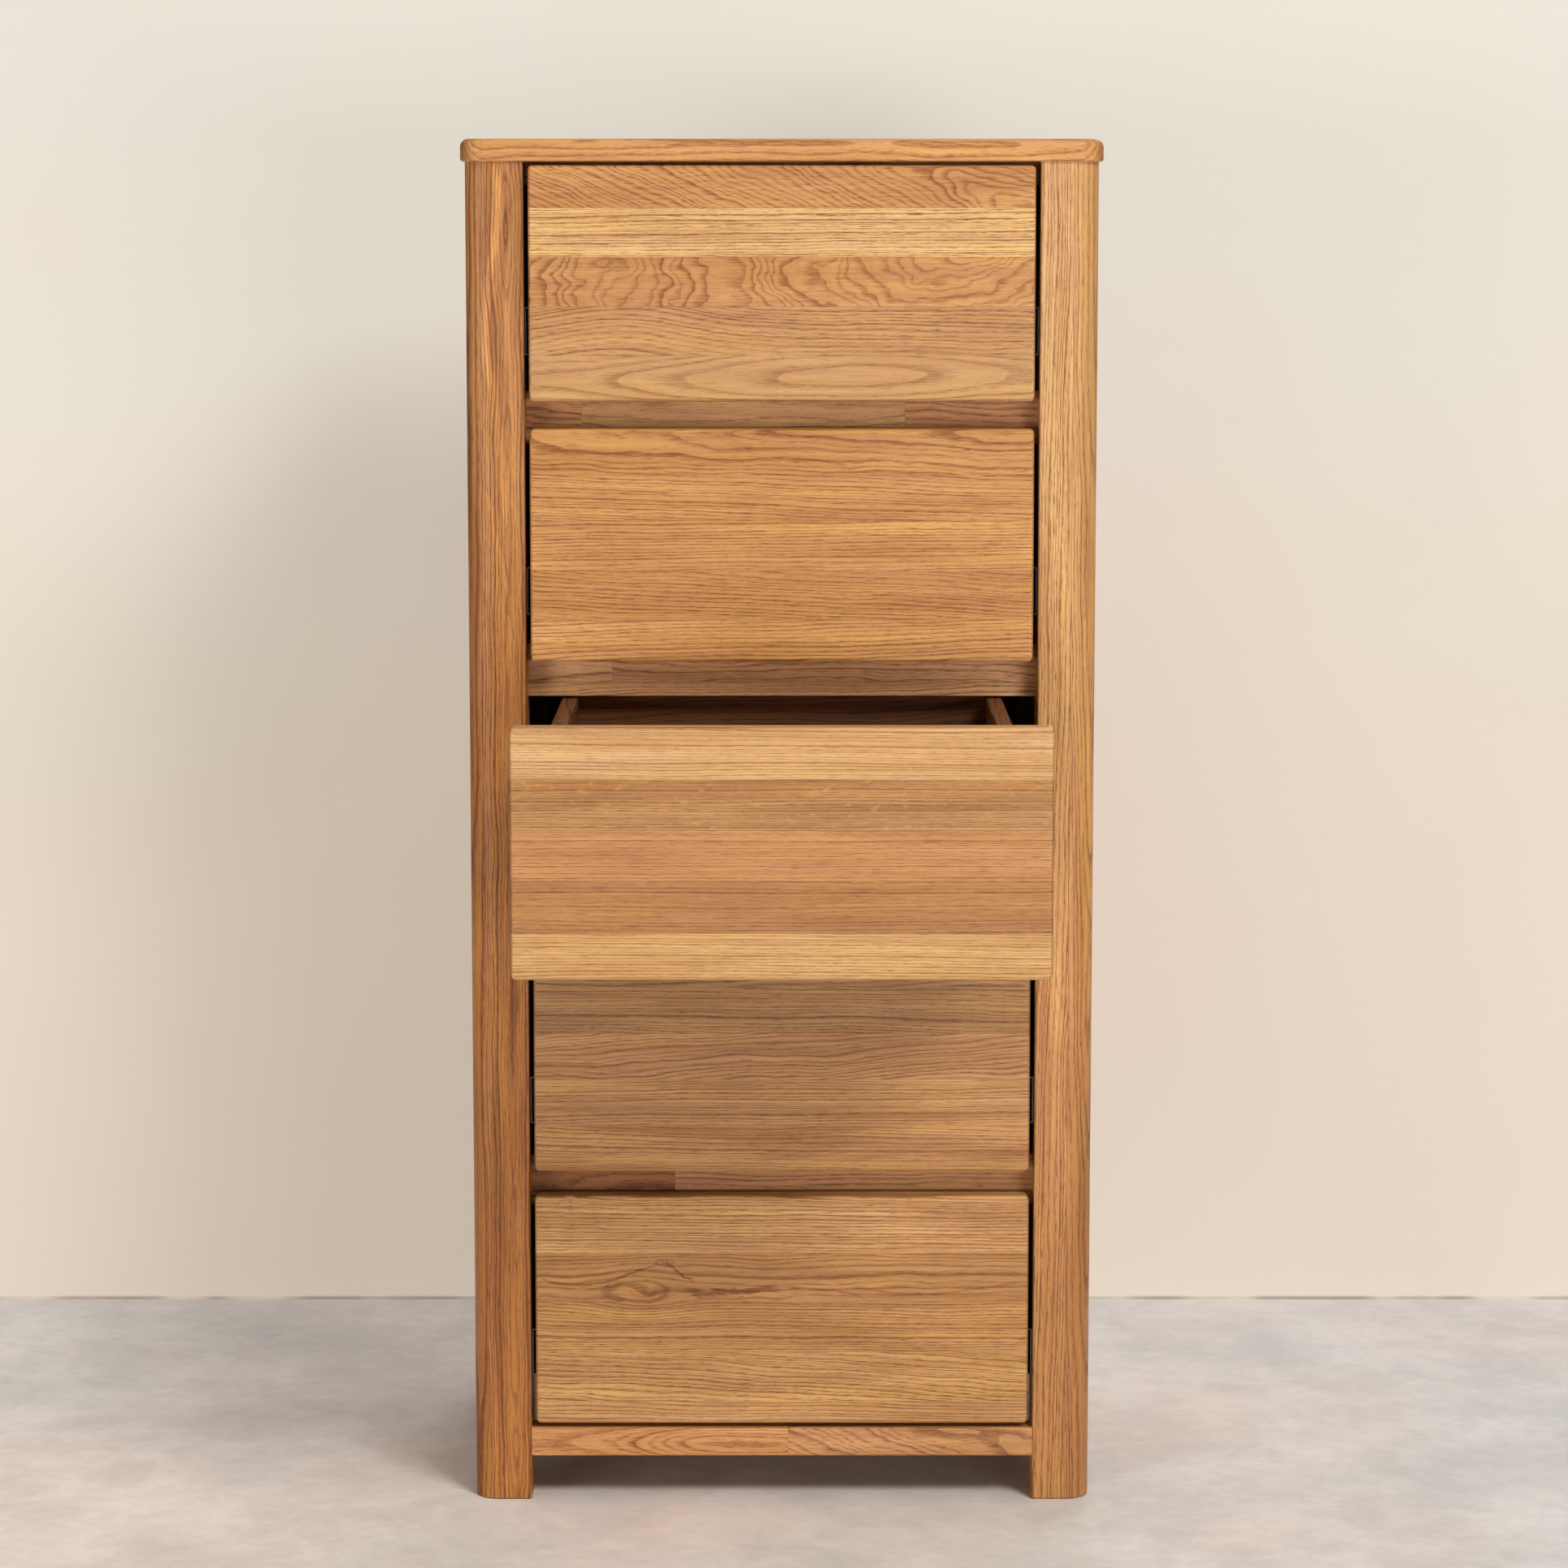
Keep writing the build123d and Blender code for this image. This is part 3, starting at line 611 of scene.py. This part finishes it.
# ------------------------------------------------------------ drawer boxes, etc.
for n in range(1, 6):
    for part, axes in (("left_side", "yz"), ("right_side", "yz"), ("back", "xz")):
        node = f"drawer_{n}_{part}"
        # sides and backs are far darker than the rest of the oak: painted shade for the inside of the open drawer
        rows = [(-46, []), (0, []), (46, []), (None, [])]
        dress(node, oak(f"oak_{node}", axes, centre(node), rows,
                        staves_even(4, 60 + n * 3 + len(part), lin(118, 76, 44), lin(80, 46, 25)), rough_add=0.08))
    node = f"drawer_{n}_bottom"
    dress(node, oak(f"oak_{node}", "xy", centre(node), [(None, [])],
                    staves_even(1, 80 + n, lin(206, 162, 114), lin(170, 122, 78), Ring=7.0, Warp=12), rough_add=0.1))
    node = f"drawer_{n}_side_packers"
    dress(node, oak(f"oak_{node}", "yz", centre(node), [(None, [])], staves_even(1, 90 + n, lin(204, 158, 108), lin(158, 112, 70)), rough_add=0.15))
dress("slide_battens", oak("oak_battens", "yz", centre("slide_battens"), [(None, [])], staves_even(1, 97, lin(200, 152, 104), lin(150, 104, 64)), rough_add=0.15))
dress("rail_dowels", oak("beech_dowels", "xz", centre("rail_dowels"), [(None, [])], staves_even(1, 99, lin(216, 176, 128), lin(190, 142, 96)), rough_add=0.2))


def steel(name, color, rough):
    mat = bpy.data.materials.new(name)
    mat.use_nodes = True
    b = Builder(mat.node_tree)
    bsdf = mat.node_tree.nodes["Principled BSDF"]
    tc = b.new("ShaderNodeTexCoord")
    x, y, z = b.split(Sock(b, tc.outputs["Object"]))
    n = b.noise(b.vec(x * 900.0, y * 14.0, z * 900.0), detail=2.0)
    spangle = b.noise(b.vec(x * 70.0, y * 70.0, z * 70.0), detail=1.0)
    b.put(b.mix((n - 0.5) * 0.6 + spangle * 0.5, color, tuple(c * 0.72 for c in color)), bsdf.inputs["Base Color"])
    b.put(rough + (n - 0.5) * 0.22 + (spangle - 0.5) * 0.10, bsdf.inputs["Roughness"])
    bsdf.inputs["Metallic"].default_value = 1.0
    return mat


zinc = steel("zinc_steel", lin(150, 152, 156), 0.42)
yellow_zinc = steel("yellow_zinc", lin(206, 190, 142), 0.34)
dress("cabinet_slide_members", zinc)
for n in range(1, 6):
    dress(f"drawer_{n}_slide_members", zinc)
    dress(f"drawer_{n}_middle_members", zinc)
dress("top_fixing_screws", yellow_zinc)

# ------------------------------------------------------------ floor and backdrop
def plane(name, corners, mat):
    me = bpy.data.meshes.new(name)
    me.from_pydata(corners, [], [(0, 1, 2, 3)])
    o = bpy.data.objects.new(name, me)
    bpy.context.scene.collection.objects.link(o)
    me.materials.append(mat)
    return o


def stage_mat(name, rough):
    mat = bpy.data.materials.new(name)
    mat.use_nodes = True
    b = Builder(mat.node_tree)
    bsdf = mat.node_tree.nodes["Principled BSDF"]
    bsdf.inputs["Roughness"].default_value = rough
    bsdf.inputs["Specular IOR Level"].default_value = 0.2
    v = Sock(b, b.new("ShaderNodeTexCoord").outputs["Object"])
    return mat, b, bsdf, v


# a trowelled pale screed: cloudy patches, warm and cool drifts, fine grain; lighter to the left by painted light
floor_mat, fb, fbsdf, v = stage_mat("pale_floor", 0.75)
fx = fb.split(v)[0]
cloud = fb.noise(v, detail=8.0, rough=0.68, scale=4.4)
patch = fb.noise(v, detail=5.0, rough=0.6, scale=2.1, distortion=0.6)
trowel = fb.noise(v, detail=4.0, rough=0.65, scale=15.0, distortion=0.8)
grain = fb.noise(v, detail=3.0, rough=0.6, scale=60.0)
col = fb.mix(fb.smooth(0.34, 0.66, cloud), lin(246, 241, 238), lin(228, 224, 221))
col = fb.mix(1.0, col, fb.mix(fb.smooth(0.36, 0.64, patch), (1.03, 0.985, 0.97), (0.97, 1.0, 1.01)), blend="MULTIPLY")
col = fb.mix(1.0, col, fb.mix(fb.smooth(0.30, 0.70, grain), (1.02, 1.02, 1.02), (0.965, 0.965, 0.965)), blend="MULTIPLY")
col = fb.mix(1.0, col, fb.mix(fb.smooth(0.34, 0.66, trowel), (1.03, 1.025, 1.02), (0.955, 0.955, 0.96)), blend="MULTIPLY")
# painted light: the floor lighter towards the left and darker towards the right
col = fb.mix(1.0, col, fb.mix(fb.smooth(-0.9, 0.9, fx), (1.09, 1.07, 1.06), (0.90, 0.92, 0.93)), blend="MULTIPLY")
fb.put(col, fbsdf.inputs["Base Color"])
floor = plane("floor", [(-8, -9, 0), (8, -9, 0), (8, 9, 0), (-8, 9, 0)], floor_mat)
# a painted wall, faintly uneven, with painted shade in a thin dark line along its foot where an open joint would be
wall_mat, wb, wbsdf, v = stage_mat("cream_wall", 0.9)
wx, wy, wz = wb.split(v)
mottle = wb.noise(v, detail=3.0, rough=0.55, scale=1.1)
gap = wb.noise(v, detail=2.0, rough=0.6, scale=9.0)
# painted shade: a thin dark line at the wall's foot, broken up by noise, in both colour and emission
foot_joint_shade = wb.smooth(0.0022, 0.0052, wz, 1.0, 0.0) * wb.smooth(0.36, 0.60, gap, 0.10, 0.60)
# painted light: the wall a little lighter and cooler towards the top
shade = wb.mix(wb.smooth(0.45, 1.45, wz), (0.95, 0.935, 0.91), (0.92, 0.97, 1.01))
body = wb.mix(1.0, wb.mix(wb.smooth(0.32, 0.68, mottle), lin(195, 190, 180), lin(196, 186, 177)), shade, blend="MULTIPLY")
wb.put(wb.mix(foot_joint_shade, body, lin(96, 84, 74)), wbsdf.inputs["Base Color"])
# the wall's emission is painted light: a glow that brightens the wall and softens the chest's shadow on it
glow = wb.mix(1.0, wb.mix(wb.smooth(0.32, 0.68, mottle), lin(236, 228, 212), lin(236, 223, 210)), shade, blend="MULTIPLY")
wb.put(wb.mix(foot_joint_shade, glow, lin(110, 98, 86)), wbsdf.inputs["Emission Color"])
wbsdf.inputs["Emission Strength"].default_value = 0.38
geo = wb.new("ShaderNodeNewGeometry")
clear = wb.new("ShaderNodeBsdfTransparent")
blend = wb.new("ShaderNodeMixShader")
wb.links.new(geo.outputs["Backfacing"], blend.inputs[0])
wb.links.new(wbsdf.outputs[0], blend.inputs[1])
wb.links.new(clear.outputs[0], blend.inputs[2])
wb.links.new(blend.outputs[0], wall_mat.node_tree.nodes["Material Output"].inputs["Surface"])
WALL_Y = 0.57
wall = plane("wall", [(-8, WALL_Y, 0), (8, WALL_Y, 0), (8, WALL_Y, 6), (-8, WALL_Y, 6)], wall_mat)
wall.visible_diffuse = False
wall.visible_glossy = False
wall.visible_shadow = False

# ---------------------------------------------------------------------- lights
scene = bpy.context.scene
scene.view_settings.view_transform = "Standard"
world = bpy.data.worlds.new("studio")
scene.world = world
world.use_nodes = True
wt = Builder(world.node_tree)
bg = world.node_tree.nodes["Background"]
bg.inputs["Color"].default_value = (*lin(236, 229, 219), 1.0)
# a room that is brightest overhead
sky = wt.split(Sock(wt, wt.new("ShaderNodeTexCoord").outputs["Generated"]))
wt.put(wt.smooth(0.60, 0.85, sky[2], 0.10, 0.85), bg.inputs["Strength"])


def area(name, loc, target, size, watts, color=(1, 1, 1), size_y=None):
    d = bpy.data.lights.new(name, "AREA")
    d.energy, d.color = watts, color
    d.size = size
    if size_y:
        d.shape, d.size_y = "RECTANGLE", size_y
    o = bpy.data.objects.new(name, d)
    scene.collection.objects.link(o)
    o.location = loc
    o.rotation_euler = (Vector(target) - Vector(loc)).to_track_quat("-Z", "Y").to_euler()
    o.visible_camera = False
    return o


area("key", (2.75, -4.5, 4.95), (0.0, 0.0, 0.85), 2.0, 250, (1.0, 0.965, 0.915))
area("low_right", (2.9, -6.4, 0.62), (0.0, 0.0, 0.6), 2.7, 112, (1.0, 0.985, 0.965), size_y=1.2)
area("low_left", (-4.4, -5.4, 0.62), (0.0, 0.0, 0.6), 3.0, 118, (1.0, 0.985, 0.98), size_y=1.2)
area("back_fill", (1.2, 4.0, 2.4), (0.0, 0.0, 0.7), 2.2, 50, (1.0, 0.98, 0.96))

# ---------------------------------------------------------------------- camera
F_PX, PITCH, CAM_H, CAM_D, CAM_X = 5577.0, 7.5276, 1.2566, 4.240, 0.002
cam_data = bpy.data.cameras.new("camera")
cam = bpy.data.objects.new("camera", cam_data)
scene.collection.objects.link(cam)
cam_data.sensor_width = 36.0
cam_data.lens = F_PX / 1932.0 * 36.0
cam_data.clip_start, cam_data.clip_end = 0.05, 60.0
cam.location = (CAM_X, -0.221 - CAM_D, CAM_H)
cam.rotation_euler = (math.radians(90.0 - PITCH), 0.0, 0.0)
scene.camera = cam
